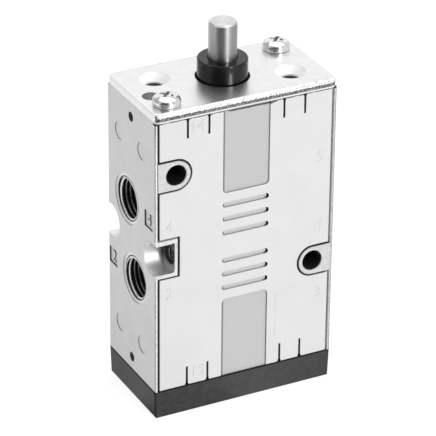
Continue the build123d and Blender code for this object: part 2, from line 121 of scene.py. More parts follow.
softBoxes = {            # place, aim and size in metres
    "overhead": {"place": (0.15, 0.1, 1.2), "aim": (0, 0, 0.05), "size": (1.5, 1.2), "radiance": 1.2},
    "frontStrip": {"place": (0.20, -1.05, 0.46), "aim": (0, 0, 0.06), "size": (0.13, 0.8), "radiance": 17.5},
    "backWall": {"place": (0.45, 1.1, 0.6), "aim": (0, 0, 0.08), "size": (1.8, 0.9), "radiance": 0.33},
}
studio = {
    "world": 0.62,
    "floor": 0.24,
    "floorGlow": 0.84,
    "floorSize": 6,
}
flags = (                # cards round the valve, seen only in reflections: their share of sky and floor
    {"direction": radians(-43), "half": radians(34), "soft": radians(12), "sky": 0.03, "floor": 0.22},
    {"direction": radians(85), "half": radians(44), "soft": radians(15), "sky": 1.1, "floor": 0.6},
    {"direction": radians(-138), "half": radians(40), "soft": radians(12), "sky": 0.7, "floor": 0.85},
)
flagTop = (0.72, 0.88)    # as the upward part of the direction: above this there is no flag


def makeSoftBox(name, box):
    bpy.ops.object.light_add(type="AREA", location=box["place"])
    light = bpy.context.object
    light.name = name
    light.data.shape = "RECTANGLE"
    light.data.size, light.data.size_y = box["size"]
    light.data.energy = box["radiance"] * pi * light.data.size * light.data.size_y
    away = Vector(box["place"]) - Vector(box["aim"])
    light.rotation_euler = away.to_track_quat("Z", "Y").to_euler()
    light.visible_camera = False


# Small helpers for node trees. Patterns work in millimetres on Object coordinates.

def feed(socket, value):
    # a number given to a colour socket means grey
    if isinstance(value, bpy.types.NodeSocket):
        socket.id_data.links.new(value, socket)
    elif socket.type == "RGBA" and isinstance(value, (int, float)):
        socket.default_value = (value, value, value, 1.0)
    else:
        socket.default_value = value


def setSockets(shader, **sockets):
    for name, value in sockets.items():
        feed(shader.inputs[name.replace("_", " ")], value)


def addNode(kind, inputs, **settings):
    # a node in the tree of what feeds it, with its inputs by name or in their order
    if not isinstance(inputs, dict):
        inputs = dict(enumerate(inputs))
    tree = next(value.id_data for value in inputs.values() if isinstance(value, bpy.types.NodeSocket))
    node = tree.nodes.new("ShaderNode" + kind)
    for name, value in settings.items():
        setattr(node, name, value)
    for name, value in inputs.items():
        feed(node.inputs[name], value)
    return node


def newFinish(name, **sockets):
    # a material with its shader, and the place on the piece in millimetres
    material = bpy.data.materials.new(name)
    material.use_nodes = True
    shader = material.node_tree.nodes["Principled BSDF"]
    setSockets(shader, **sockets)
    coordinates = material.node_tree.nodes.new("ShaderNodeTexCoord")
    inputs = {"Vector": coordinates.outputs["Object"], "Scale": (1 / mm, 1 / mm, 1 / mm)}
    return material, shader, addNode("Mapping", inputs).outputs["Vector"]


def splitAxes(vector):
    return addNode("SeparateXYZ", [vector]).outputs[:3]


def joinAxes(*axes):
    return addNode("CombineXYZ", axes).outputs["Vector"]


def calc(operation, *values):
    return addNode("Math", values, operation=operation).outputs["Value"]


plus = partial(calc, "ADD")
minus = partial(calc, "SUBTRACT")
times = partial(calc, "MULTIPLY")
least = partial(calc, "MINIMUM")
most = partial(calc, "MAXIMUM")
absolute = partial(calc, "ABSOLUTE")


def allOf(*masks):
    return reduce(times, masks)


def anyOf(*masks):
    return reduce(most, masks)


def inverse(mask):
    return minus(1.0, mask)


def fade(value, start, end, low=0.0, high=1.0):
    # smooth step of the value between start and end, from low to high
    if start > end:
        start, end, low, high = end, start, high, low
    inputs = (value, start, end, low, high)
    return addNode("MapRange", inputs, interpolation_type="SMOOTHSTEP").outputs["Result"]


def cloudy(pattern, low=0.0, high=1.0):
    # the middle of a noise spread from low to high
    return fade(pattern, 0.3, 0.7, low, high)


def beyond(value, limit, soft):
    return fade(value, limit - soft, limit + soft)


def within(value, limit, soft):
    return fade(value, limit + soft, limit - soft)


def between(value, start, end, soft=0.02):
    return times(beyond(value, start, soft), within(value, end, soft))


def noise(vector, scale, detail=3.0, roughness=0.5):
    inputs = {"Vector": vector, "Scale": scale, "Detail": detail, "Roughness": roughness}
    return addNode("TexNoise", inputs).outputs["Fac"]


def mix(factor, first, second, kind="FLOAT"):
    return addNode("Mix", {"Factor": factor, "A": first, "B": second}, data_type=kind).outputs["Result"]


def layered(shade, *coats):
    # each coat is a mask and what shows where the mask is 1
    for mask, coat in coats:
        shade = mix(mask, shade, coat)
    return shade


def bump(height, strength, distanceMm):
    inputs = {"Height": height, "Strength": strength, "Distance": distanceMm * mm}
    return addNode("Bump", inputs).outputs["Normal"]


def nearestAxis(vector, points):
    # distance in mm to the nearest of these points
    nodes = [addNode("VectorMath", (vector, point), operation="DISTANCE") for point in points]
    return reduce(least, [node.outputs["Value"] for node in nodes])


def facing(shader, axis):
    coordinates = shader.id_data.nodes.new("ShaderNodeTexCoord")
    return splitAxes(coordinates.outputs["Normal"])["XYZ".index(axis)]


def wallOf(shader, axis):
    # where the surface stands upright on a face whose normal is this axis
    return within(absolute(facing(shader, axis)), 0.5, 0.1)


def paint(node, material):
    frame["nodes"][node].data.materials.clear()
    frame["nodes"][node].data.materials.append(material)


def flagShade(vector, part):
    # 1, and the flag's share inside its sector round the valve, only for rays that reflections send out
    x, y, z = splitAxes(vector)
    turn = calc("ARCTAN2", x, times(y, -1.0))
    ray = vector.id_data.nodes.new("ShaderNodeLightPath")
    seen = times(ray.outputs["Is Glossy Ray"], fade(z, flagTop[1], flagTop[0]))
    shade = 1.0
    for flag in flags:
        away = absolute(minus(turn, flag["direction"]))
        sector = times(within(away, flag["half"], flag["soft"]), seen)
        shade = times(shade, mix(sector, 1.0, flag[part]))
    return shade


def makeWorld():
    world = bpy.data.worlds.new("studio")
    world.use_nodes = True
    coordinates = world.node_tree.nodes.new("ShaderNodeTexCoord")
    shade = flagShade(coordinates.outputs["Generated"], "sky")
    setSockets(world.node_tree.nodes["Background"], Color=1.0, Strength=times(shade, studio["world"]))
    bpy.context.scene.world = world


def makeFloor():
    material, shader, place = newFinish("paleFloor", Metallic=0.0, Roughness=0.9, Emission_Color=1.0)
    shade = flagShade(place, "floor")
    cloud = cloudy(noise(place, 0.004, 2.0), studio["floor"] - 0.02, studio["floor"])
    setSockets(shader, Base_Color=times(cloud, shade), Emission_Strength=times(shade, studio["floorGlow"]))
    bpy.ops.mesh.primitive_plane_add(size=studio["floorSize"], location=(0, 0, 0))
    floor = bpy.context.object
    floor.name = "floor"
    floor.data.materials.append(material)


bpy.context.scene.view_settings.view_transform = "Standard"
makeCamera()
makeWorld()
makeFloor()
for boxName, softBox in softBoxes.items():
    makeSoftBox(boxName, softBox)
print("camera, light and floor ready")


# Stamped plate: bright zinc, rolled upper edge, torn dark band low on its front and back

platedSheet = {
    # shades
    "bright": 0.93,
    "dull": 0.88,
    "torn": 0.02,
    "tornLight": 0.36,
    # painted shade in a dark line low at each corner
    "sheetCornerShade": 0.05,
    "fleck": 0.42,
    "boreInside": 0.55,
    # painted shade on the body and gasket seen down the spare holes
    "underHole": 0.10,
    # millimetres
    "tornTop": 0.95,
    "rolled": 0.6,           # how far in the rolled edge reaches
    "fleckReach": 0.975,
    "sheetCornerReach": 0.7925,
    "sheetCornerTop": 1.8,
    "sinkRadius": 4.6,
    "sinkBore": 2.55,
    "sinkX": 17.85,
    "sinkY": 6.0,
    "holeRadius": 2.75,      # of the holes below the sinks
}


def sinkPlaces(level):
    # the two spare holes, which have a sink in the plate
    return [(side * platedSheet["sinkX"], -side * platedSheet["sinkY"], level) for side in (-1, 1)]


def underSinks(place):
    return within(nearestAxis(place, sinkPlaces(bodyHigh.z)), platedSheet["holeRadius"], 0.05)


def makePlatedSheet():
    look = platedSheet
    material, shader, place = newFinish("platedSheet")
    x, y, z = splitAxes(place)
    height = minus(z, plateLow.z)
    thickness = plateHigh.z - plateLow.z
    clouds = noise(place, 0.35, 4.0, 0.6)
    flecks = noise(place, 2.2, 4.0, 0.65)
    crumbs = noise(place, 1.1, 4.0, 0.7)
    specks = noise(place, 2.9, 2.0, 0.6)

    # the front and back edges: bright flecked band above, torn dark band below
    rimDepth = minus(plateHigh.y, absolute(y))
    speckled = allOf(within(rimDepth, look["fleckReach"], 0.175), within(specks, 0.43, 0.04))
    wander = times(minus(crumbs, 0.5), 0.6)
    ragged = plus(height, plus(wander, minus(flecks, 0.5)))
    torn = allOf(within(ragged, look["tornTop"], 0.06), within(rimDepth, 0.45, 0.15))
    tornShade = fade(flecks, 0.43, 0.60, look["torn"], look["tornLight"])

    # the two sinks, and painted shade in a dark line low at each corner
    sink = within(nearestAxis(place, sinkPlaces(plateHigh.z)), look["sinkRadius"], 0.05)
    sink = allOf(sink, within(height, thickness - 0.06, 0.04))
    across = joinAxes(x, y, 0.0)
    bore = within(nearestAxis(across, sinkPlaces(0)), look["sinkBore"], 0.05)
    corners = [
        (endX, endY, 0)
        for endX in (-plateHigh.x, plateHigh.x)
        for endY in (-plateHigh.y, plateHigh.y)
    ]
    sheetCornerShade = within(nearestAxis(across, corners), look["sheetCornerReach"], 0.0275)
    sheetCornerShade = allOf(sheetCornerShade, within(height, look["sheetCornerTop"], 0.1))
    sheet = layered(
        cloudy(clouds, look["dull"], look["bright"]),
        (speckled, look["fleck"]),
        (torn, tornShade),
        (sheetCornerShade, look["sheetCornerShade"]),
        (sink, look["bright"]),
        (bore, look["boreInside"]),
    )
    endDepth = minus(plateHigh.x, absolute(x))
    onRim = within(least(rimDepth, endDepth), look["rolled"], 0.1)
    rough = fade(flecks, 0.25, 0.75, 0.26, 0.36)
    waves = times(flecks, fade(height, 2.1, 1.7, 1.1, 1.8))
    setSockets(
        shader,
        Base_Color=sheet,
        Metallic=mix(anyOf(sink, onRim), 1.0, 0.25),
        Roughness=mix(anyOf(sink, torn), rough, 0.5),
        Normal=bump(waves, 0.3, 0.05),
    )
    return material


paint("top_plate", makePlatedSheet())
print("top plate painted")


# Body casting: fine blasted skin, bright machined mouths, painted shade inside the holes, and painted light and shade
# along rims, recesses and joints

castBody = {
    # shades
    "skin": 0.69,
    "skinDark": 0.62,
    "frontSkin": 0.66,
    "frontSkinDark": 0.54,
    "machined": 0.84,
    "notchWall": 0.80,
    "notchFrame": 0.68,
    "notchEnd": 0.04,        # painted shade at the frame's edge on the right, in the joint
    # painted shade on the notches' floors, lighter towards the bottom
    "notchFloor": 0.10,
    "notchFloorLow": 0.55,
    # painted shade round the tapped holes' mouths, ringed by a painted highlight
    "tappedMouth": 0.02,
    "tappedEdge": 0.42,
    "corner": 0.46,          # painted shade in the thin line where side and front meet
    # the rim on the right, darker than the painted highlight on the left
    "rim": 0.52,
    "rimOutside": 0.30,      # painted shade on the right
    "rimEnd": 0.10,          # painted shade at the rim's edge by the joint, on the left
    "rimShine": 0.92,        # painted highlight on the left
    # painted shade inside the holes, the vents lighter at the mouth
    "holeInside": 0.05,
    "crossInside": 0.012,
    "ventMouth": 0.14,
    "ventInside": 0.03,
    # painted light on the joint's upward walls beside the notch
    "ledge": 0.95,
    "boss": 0.68,
    # painted shade at the bosses' edge
    "bossLine": 0.40,
    # painted shade on recess walls and on the port mouths' outer edge
    "recessWall": 0.07,
    "mouthLine": 0.20,
    "footLine": 0.05,        # painted shade above the end cap on the sides, and painted shadow under the plate's front corners
    "jointLow": 0.025,       # painted shade in the joint round the cover, darker towards the foot
    "jointHigh": 0.11,
    # on the right the joint's wall is painted lighter, as if lit, and darker near the top
    "jointRight": 0.65,
    "jointRightTop": 0.10,
    # millimetres
    "sideOffset": 200.0,     # keeps the left side's axes away from the right side's
    "bossRadius": 4.3,
    "ventInset": 3.9,
    "ventRadius": 1.42,
    "mouthRadius": 7.45,
    "mouthDepth": 0.4,
    "notchRadius": 5.1,
    "notchAxisInset": 2.35,
    "notchDepth": 5.9,
    "notchFillet": 0.75,
    "frameHalf": 5.85,       # the notch's frame, above and below the middle
    "frameReach": 7.15,
    "ledgeHalf": 6.4,
    "tappedMouthRadius": 3.15,
    "tappedEdgeRadius": 3.4,
    "rimWidth": 0.9,
    "coverSetback": 0.15,
    "grooveFloor": 1.525,    # of the joint, behind the front
    "recessDepth": 0.5,
    "cornerReach": 1.4,      # of the painted shadow under the plate's front corners
}


def sideAxes(names):
    # the mounts' axes as points whose x only tells the left side from the right
    return [(copysign(castBody["sideOffset"], place.x), place.y, place.z) for place in map(mountMm, names)]


def sidedPlace(place):
    x, y, z = splitAxes(place)
    return joinAxes(times(calc("SIGN", x), castBody["sideOffset"]), y, z)


def depthUnderSide(place):
    return minus(bodyHigh.x, absolute(splitAxes(place)[0]))


def makeCastBody():
    look = castBody
    material, shader, place = newFinish("castBody")
    x, y, z = splitAxes(place)
    onLeft = within(x, 0.0, 1.0)
    onRight = beyond(x, 0.0, 1.0)
    sideDepth = depthUnderSide(place)
    frontDepth = minus(y, bodyLow.y)
    fromMiddle = absolute(minus(z, bodyMiddle))
    sided = sidedPlace(place)
    portDistance = nearestAxis(sided, sideAxes(portNames))
    tappedDistance = nearestAxis(sided, sideAxes(notchNames))
    ventLevels = (bodyHigh.z - look["ventInset"], bodyLow.z + look["ventInset"])
    ventDistance = nearestAxis(sided, [(-look["sideOffset"], 0, level) for level in ventLevels])
    notchY = bodyHigh.y - look["notchAxisInset"]
    notchAxes = [(-look["sideOffset"], side * notchY, bodyMiddle) for side in (-1, 1)]
    notchDistance = nearestAxis(sided, notchAxes)
    crossLeft, crossRight = map(mountMm, crossNames)
    crossAxes = [(point.x, 0, point.z) for point in (crossLeft, crossRight)]
    crossDistance = nearestAxis(joinAxes(x, 0.0, z), crossAxes)
    portRadius = mounts[portNames[0]]["dims"]["r_mm"]
    tappedRadius = mounts[notchNames[0]]["dims"]["r_mm"]
    crossRadius = mounts[crossNames[0]]["dims"]["r_mm"]

    # skin with fine grain and broad, faint clouds, blotchier on the front, and painted shade darkening it towards the
    # foot
    grain = noise(place, 3.2, 4.0, 0.65)
    clouds = noise(place, 0.16)
    blotches = noise(place, 1.7, 4.0, 0.7)
    skin = cloudy(grain, look["skinDark"], look["skin"])
    skin = mix(fade(clouds, 0.3, 0.75, 0.0, 0.5), skin, look["skin"] * 1.06)
    skin = times(skin, fade(z, bodyLow.z, bodyMiddle, 0.91, 1.0))
    frontSkin = fade(blotches, 0.35, 0.65, look["frontSkinDark"], look["frontSkin"])

    # the rims beside the cover: painted shade in a thin corner line, darker towards the top, then a painted highlight
    # on the left and painted shade on the right
    onFront = within(frontDepth, 0.4, 0.1)
    speckled = fade(blotches, 0.3, 0.6, 0.75, 1.1)
    cornerShade = fade(z, bodyHigh.z - 7, bodyHigh.z - 1, look["corner"], look["corner"] * 0.35)
    rimShade = layered(
        mix(onLeft, look["rim"], look["rimShine"]),
        (allOf(beyond(sideDepth, 0.63, 0.05), onLeft), look["rimEnd"]),
        (within(sideDepth, 0.35, 0.05), cornerShade),
        (allOf(within(sideDepth, 0.475, 0.125), onRight), look["rimOutside"]),
    )
    onRim = allOf(onFront, within(sideDepth, look["rimWidth"] + 0.05, 0.05))
    # a dashed dark line on the side near the front, in the corner line's colour
    dashedLine = allOf(within(frontDepth, 0.625, 0.125), within(sideDepth, 0.2, 0.1), speckled)

    # the bosses round the cross holes, with painted shade in a thin line round their edge
    boss = allOf(between(frontDepth, 0.01, 0.14), beyond(sideDepth, 1.0, 0.1))
    bossAcross = most(minus(crossRight.x, absolute(x)), 0.0)
    bossLevel = mix(onLeft, crossRight.z, crossLeft.z)
    bossReach = nearestAxis(joinAxes(bossAcross, 0.0, minus(z, bossLevel)), [(0, 0, 0)])
    bossLine = beyond(bossReach, look["bossRadius"] - 0.375, 0.175)
    bossShade = times(fade(blotches, 0.32, 0.6, 0.78, 1.02), look["boss"])
    bossShade = mix(times(bossLine, 0.8), bossShade, look["bossLine"])

    # machined mouths of ports and cross holes, and the smooth notches with a bright frame round them
    nearMouth = within(portDistance, look["mouthRadius"] + 0.225, 0.075)
    portMouth = allOf(within(portDistance, look["mouthRadius"], 0.03), beyond(sideDepth, 0.035, 0.015))
    crossMouth = within(crossDistance, crossRadius + 0.45, 0.05)
    nearNotch = within(notchDistance, look["notchRadius"] + 0.065, 0.035)
    inNotch = allOf(nearNotch, between(sideDepth, 0.3, look["notchDepth"] + 0.05))
    beside = allOf(onFront, onLeft, within(fromMiddle, look["frameHalf"], 0.05))
    notchFrame = allOf(beside, within(sideDepth, look["frameReach"], 0.05))
    frameShade = times(fade(blotches, 0.3, 0.55, 0.75, 1.08), look["notchFrame"])
    notchEnd = allOf(beside, between(sideDepth, look["frameReach"] - 0.35, look["frameReach"] + 0.15))

    # the notches' floors with painted shade, darker at the top, and the mouths of their tapped holes
    floorStart = look["notchDepth"] - look["notchFillet"]
    floorShade = fade(z, bodyMiddle - 1.0, bodyMiddle - 4.5, look["notchFloor"], look["notchFloorLow"])
    onFloor = beyond(sideDepth, floorStart + 0.05, 0.15)
    onFloor = allOf(onFloor, within(sideDepth, look["notchDepth"] + 0.06, 0.02))
    inMouth = allOf(fade(sideDepth, floorStart, look["notchDepth"]), within(tappedDistance, 2.75, 0.05))
    tappedEdge = allOf(onFloor, within(tappedDistance, look["tappedEdgeRadius"], 0.05))
    tappedMouth = allOf(onFloor, within(tappedDistance, look["tappedMouthRadius"], 0.05))

    # painted shade: dark lines on recess walls and mouth edges on the sides, and in the joint round the cover
    recess = allOf(
        wallOf(shader, "X"),
        within(sideDepth, look["recessDepth"], 0.05),
        beyond(frontDepth, 0.8, 0.1),
        beyond(notchDistance, look["notchRadius"] + 0.15, 0.05),
        within(absolute(y), bodyHigh.y - 0.7, 0.05),
    )
    onSideWall = within(sideDepth, look["rimWidth"] + 0.1, 0.05)
    jointStart = mix(onSideWall, look["coverSetback"], 0.85)
    joint = allOf(
        beyond(minus(frontDepth, jointStart), 0.03, 0.03),
        within(frontDepth, look["grooveFloor"], 0.025),
        beyond(sideDepth, look["rimWidth"] - 0.04, 0.02),
        inverse(anyOf(inNotch, crossMouth)),
    )
    rightShade = fade(z, bodyHigh.z - 4, bodyHigh.z - 2, look["jointRight"], look["jointRightTop"])
    ledge = allOf(onLeft, within(fromMiddle, look["ledgeHalf"], 0.1), beyond(facing(shader, "Z"), 0.6, 0.1))
    jointShade = layered(
        fade(z, bodyLow.z + 10, bodyHigh.z - 10, look["jointLow"], look["jointHigh"]),
        (allOf(onSideWall, onRight), rightShade),
        (ledge, look["ledge"]),
    )
    footLine = allOf(within(z, bodyLow.z + 0.18, 0.04), within(sideDepth, 0.15, 0.05))
    frontCorners = [(endX, bodyLow.y, 0) for endX in (bodyLow.x, bodyHigh.x)]
    nearCorner = within(nearestAxis(joinAxes(x, y, 0.0), frontCorners), look["cornerReach"], 0.3)
    underCorner = allOf(nearCorner, beyond(z, bodyHigh.z - 0.375, 0.075))

    # painted shade: dark insides of the holes, and under the plate's spare holes
    pastMouth = beyond(sideDepth, look["mouthDepth"] + 0.06, 0.04)
    inPort = allOf(within(portDistance, portRadius + 0.05, 0.03), pastMouth)
    inVent = allOf(within(ventDistance, look["ventRadius"] + 0.03, 0.03), beyond(sideDepth, 0.25, 0.15))
    pastFloor = beyond(sideDepth, look["notchDepth"] + 0.45, 0.15)
    inTapped = allOf(within(tappedDistance, tappedRadius + 0.06, 0.04), pastFloor)
    inCross = within(crossDistance, crossRadius + 0.2, 0.04)
    underPlate = underSinks(place)
    inside = anyOf(inPort, inVent, inTapped, inCross, underPlate)
    insideShade = layered(
        mix(inCross, look["holeInside"], look["crossInside"]),
        (inVent, fade(sideDepth, 0.5, 1.5, look["ventMouth"], look["ventInside"])),
        (underPlate, platedSheet["underHole"]),
    )

    shade = layered(
        mix(within(frontDepth, 0.35, 0.05), skin, frontSkin),
        (onRim, times(rimShade, speckled)),
        (times(dashedLine, 0.55), look["corner"]),
        (boss, bossShade),
        (anyOf(portMouth, inNotch), look["machined"]),
        (crossMouth, look["boss"]),
        (inNotch, look["notchWall"]),
        (notchFrame, frameShade),
        (notchEnd, look["notchEnd"]),
        (allOf(nearNotch, onFloor), floorShade),
        (tappedEdge, look["tappedEdge"]),
        (anyOf(inMouth, tappedMouth), look["tappedMouth"]),
        (allOf(recess, inverse(nearMouth)), look["recessWall"]),
        (allOf(recess, nearMouth, within(sideDepth, 0.16, 0.04)), look["mouthLine"]),
        (joint, jointShade),
        (anyOf(footLine, underCorner), look["footLine"]),
        (inside, insideShade),
    )
    machined = anyOf(portMouth, crossMouth, inNotch)
    metal = mix(inNotch, 0.5, 0.85)
    rough = fade(grain, 0.25, 0.75, 0.42, 0.58)
    pits = plus(grain, times(blotches, 0.6))
    flatten = fade(anyOf(machined, inside), 0.0, 1.0, 1.0, 0.15)
    setSockets(
        shader,
        Base_Color=shade,
        Metallic=mix(anyOf(portMouth, inside, onRim, boss), metal, 0.2),
        Roughness=layered(rough, (machined, 0.26), (inNotch, 0.44), (anyOf(inside, joint), 0.8)),
        Normal=bump(times(pits, flatten), 0.35, 0.05),
    )
    return material


bodyFinish = makeCastBody()
paint("valve_body", bodyFinish)
print("body casting painted")


# Front cover: satin panel, greyer floors in its fields and slots

coverPanel = {
    # shades
    "panel": 0.63,
    "panelShade": 0.61,
    "floor": 0.472,
    "floorShade": 0.447,
    # painted light: lighter than the fields' floors to offset the deeper slots' shade
    "slotFloor": 0.54,
    "outline": 0.18,         # painted shade in a thin dark line at the foot of the recesses' walls
    # painted shade on the slots' walls, and painted shadow on the end walls and at the slots' right ends
    "slotWall": 0.36,
    "endWall": 0.005,
    # painted shade on the panel's left edge and cut edges, a painted highlight on its right edge
    "outerLeft": 0.05,
    "outerRight": 0.90,
    "cutEdge": 0.09,
    "raggedLine": 0.03,           # a ragged dark line painted along the top edge, below the plate
    # millimetres
    "outerX": 25.95,         # beyond it lie the panel's own left and right edges
    "patternHalf": 7.2,
    "fieldStart": 16.35,     # of the two large fields, from the middle
    "sunkDepth": 0.34,
    "slotDepth": 0.5,
    "slotPitch": 4.3,
    "slotLevel": 50.0,
    "slotEndX": 5.95,        # a slot's floor is dark outside the round of its right end
    "slotEndRadius": 0.72,
    "raggedLineX": 1.7,
    "raggedLineHalf": (5.5, 9.0),
    "raggedLineHeight": (0.35, 0.95),
}


def makeCoverPanel():
    look = coverPanel
    material, shader, place = newFinish("coverPanel", Metallic=0.0)
    x, y, z = splitAxes(place)
    depth = minus(y, coverLow.y)
    rise = minus(z, bodyMiddle)
    peel = noise(place, 2.4, 3.0, 0.6)
    panel = cloudy(noise(place, 0.12, 3.0, 0.55), look["panelShade"], look["panel"])
    floor = cloudy(noise(place, 5.0, 3.0, 0.7), look["floorShade"], look["floor"])
    inSlot = beyond(depth, look["slotDepth"], 0.05)
    inPattern = within(absolute(x), look["patternHalf"] + 0.05, 0.05)
    sunk = allOf(inPattern, beyond(depth, look["sunkDepth"], 0.04))

    # painted shade on the walls of fields and slots, and in the thin line at their feet on the left and above
    inField = beyond(absolute(rise), look["fieldStart"] - 0.15, 0.15)
    endFacing = beyond(absolute(facing(shader, "X")), 0.5, 0.2)
    wallShade = mix(inField, look["slotWall"], look["outline"])
    wallShade = mix(allOf(endFacing, inverse(inField)), wallShade, look["endWall"])
    leftFoot = within(x, 0.74 - look["patternHalf"], 0.06)
    rightFoot = allOf(inField, beyond(x, look["patternHalf"] - 0.19, 0.03))
    topFoot = between(rise, -look["fieldStart"] - 0.42, -look["fieldStart"] + 0.2, 0.05)
    halfPitch = look["slotPitch"] / 2
    fromSlot = calc("WRAP", minus(z, look["slotLevel"]), halfPitch, -halfPitch)
    endDistance = nearestAxis(joinAxes(x, 0.0, fromSlot), [(look["slotEndX"], 0, 0)])
    pastRound = allOf(beyond(x, look["slotEndX"], 0.1), beyond(endDistance, look["slotEndRadius"], 0.05))

    # painted shade on the edges of the panel itself and a painted highlight on its right edge, and a ragged dark line
    # under the middle of the plate
    outerShade = mix(beyond(x, 0.5, 0.5), look["outerLeft"], look["outerRight"])
    edgeShade = mix(beyond(absolute(x), look["outerX"], 0.05), look["cutEdge"], outerShade)
    ragged = times(minus(noise(place, 0.9, 4.0, 0.6), 0.5), 0.7)
    low, high = look["raggedLineHeight"]
    inner, outer = look["raggedLineHalf"]
    reach = fade(absolute(minus(x, look["raggedLineX"])), outer, inner, low, high)
    below = minus(coverHigh.z, plus(z, ragged))
    raggedLine = beyond(minus(reach, below), 0.0, 0.08)

    shade = layered(
        panel,
        (sunk, mix(inSlot, floor, look["slotFloor"])),
        (allOf(inPattern, wallOf(shader, "Y")), wallShade),
        (allOf(sunk, anyOf(leftFoot, rightFoot, topFoot)), look["outline"]),
        (allOf(inPattern, inSlot, pastRound), look["endWall"]),
        (allOf(inverse(inPattern), beyond(depth, 0.1, 0.04)), edgeShade),
        (times(raggedLine, 0.9), look["raggedLine"]),
    )
    setSockets(shader, Base_Color=shade, Roughness=cloudy(peel, 0.36, 0.46), Normal=bump(peel, 0.12, 0.03))
    return material


coverFinish = makeCoverPanel()
paint("front_cover", coverFinish)
print("front cover painted")


# Black bush, turned pieces, mouldings and rubber

blackBush = {"dark": 0.003, "light": 0.006, "rough": (0.14, 0.20), "haze": 1.2, "bump": (0.05, 0.02)}
turnedSteel = {"dark": 0.38, "light": 0.48, "endLight": 0.85, "linesPerMm": 6.0, "anisotropy": 0.8}
turnedAluminium = {"dark": 0.68, "light": 0.78, "endLight": 0.8, "linesPerMm": 7.0, "anisotropy": 0.6}
sealRubber = {"base": 0.02, "rough": (0.45, 0.6)}
spacerPlastic = {"base": 0.12, "rough": (0.4, 0.55)}
springSteel = {"dark": 0.30, "light": 0.46, "rough": (0.28, 0.4), "haze": 1.5, "bump": (0.08, 0.03)}
platedScrew = {"dark": 0.80, "light": 0.95, "rough": (0.05, 0.11), "haze": 1.5, "bump": (0.08, 0.03)}
seatBrass = {
    "dark": (0.62, 0.45, 0.18, 1),
    "light": (0.78, 0.60, 0.28, 1),
    "rough": (0.25, 0.38),
    "haze": 1.5,
    "bump": (0.08, 0.03),
}
gasketSheet = {"dark": 0.66, "light": 0.76}
endCapPlastic = {
    "dark": 0.029,
    "light": 0.035,
    "sideShare": 0.84,       # of the front's shade: painted shade on the sides
    # painted shade along the top edge, its colour also used for the line near each side corner
    "edge": 0.004,
    "edgeTop": 0.28,         # how far below the body the painted shade of the top edge reaches
    "edgeTopSide": 0.5,
    "cornerLine": (0.3, 0.75),
}


def makeTurned(name, look):
    # fine tool lines round the axis, and brighter rings on the flat ends, partly their faced finish and partly
    # painted light
    material, shader, place = newFinish(name, Metallic=1.0, Anisotropic=look["anisotropy"])
    shader.inputs["Anisotropic Rotation"].default_value = 0.25
    tangent = shader.id_data.nodes.new("ShaderNodeTangent")
    tangent.direction_type = "RADIAL"
    tangent.axis = "Z"
    x, y, z = splitAxes(place)
    radius = calc("SQRT", plus(times(x, x), times(y, y)))
    lines = noise(joinAxes(0.0, radius, z), look["linesPerMm"], 3.0, 0.7)
    patches = noise(place, 0.9, 4.0, 0.6)
    worn = plus(times(lines, 0.6), times(patches, 0.4))
    side = fade(worn, 0.35, 0.65, look["dark"], look["light"])
    end = fade(worn, 0.35, 0.65, look["endLight"] * 0.8, look["endLight"])
    onEnd = beyond(absolute(facing(shader, "Z")), 0.45, 0.15)
    setSockets(
        shader,
        Base_Color=mix(onEnd, side, end),
        Roughness=cloudy(worn, 0.28, 0.38),
        Normal=bump(lines, 0.12, 0.02),
        Tangent=tangent.outputs["Tangent"],
    )
    return material


def makeMoulded(name, look):
    material, shader, place = newFinish(name, Metallic=0.0)
    grain = noise(place, 2.0, 3.0, 0.6)
    shade = cloudy(grain, look["base"] * 0.88, look["base"] * 1.1)
    shade = mix(fade(noise(place, 0.2), 0.35, 0.7, 0.0, 0.4), shade, look["base"] * 1.12)
    rough = cloudy(grain, *look["rough"])
    setSockets(shader, Base_Color=shade, Roughness=rough, Normal=bump(grain, 0.1, 0.05))
    return material


def makeHazy(name, look, **sockets):
    # dark and light are shades or colours, blended in soft patches
    material, shader, place = newFinish(name, **sockets)
    haze = noise(place, look["haze"], 4.0, 0.6)
    setSockets(
        shader,
        Base_Color=mix(cloudy(haze), look["dark"], look["light"], "RGBA"),
        Roughness=cloudy(haze, *look["rough"]),
        Normal=bump(haze, *look["bump"]),
    )
    return material


def makeGasket():
    # pale fibre, with painted shade where it lies under the spare holes
    material, shader, place = newFinish("gasketSheet", Roughness=0.8)
    grain = noise(place, 2.0, 3.0, 0.6)
    shade = cloudy(grain, gasketSheet["dark"], gasketSheet["light"])
    shade = mix(underSinks(place), shade, platedSheet["underHole"])
    setSockets(shader, Base_Color=shade, Normal=bump(grain, 0.3, 0.05))
    return material


def makeEndCapPlastic():
    # dark moulding with faint clouds, painted shade along its top edge and on its sides, and a dark line near each
    # side corner
    look = endCapPlastic
    material, shader, place = newFinish("endCapPlastic")
    x, y, z = splitAxes(place)
    grain = noise(place, 3.5, 3.0, 0.6)
    clouds = noise(place, 0.55, 3.0, 0.6)
    onSide = beyond(absolute(x), bodyHigh.x - 0.7, 0.1)
    edgeDepth = mix(onSide, look["edgeTop"], look["edgeTopSide"])
    topEdge = within(minus(minus(bodyLow.z, z), edgeDepth), 0.0, 0.06)
    cornerDepth = minus(bodyHigh.y, absolute(y))
    cornerLine = allOf(onSide, between(cornerDepth, *look["cornerLine"], 0.06))
    edges = anyOf(topEdge, cornerLine)
    shade = allOf(
        cloudy(grain, look["dark"], look["light"]),
        cloudy(clouds, 0.84, 1.2),
        mix(onSide, 1.0, look["sideShare"]),
    )
    setSockets(
        shader,
        Base_Color=mix(edges, shade, look["edge"]),
        Roughness=mix(edges, cloudy(grain, 0.5, 0.62), 0.95),
        Normal=bump(grain, 0.2, 0.05),
    )
    return material


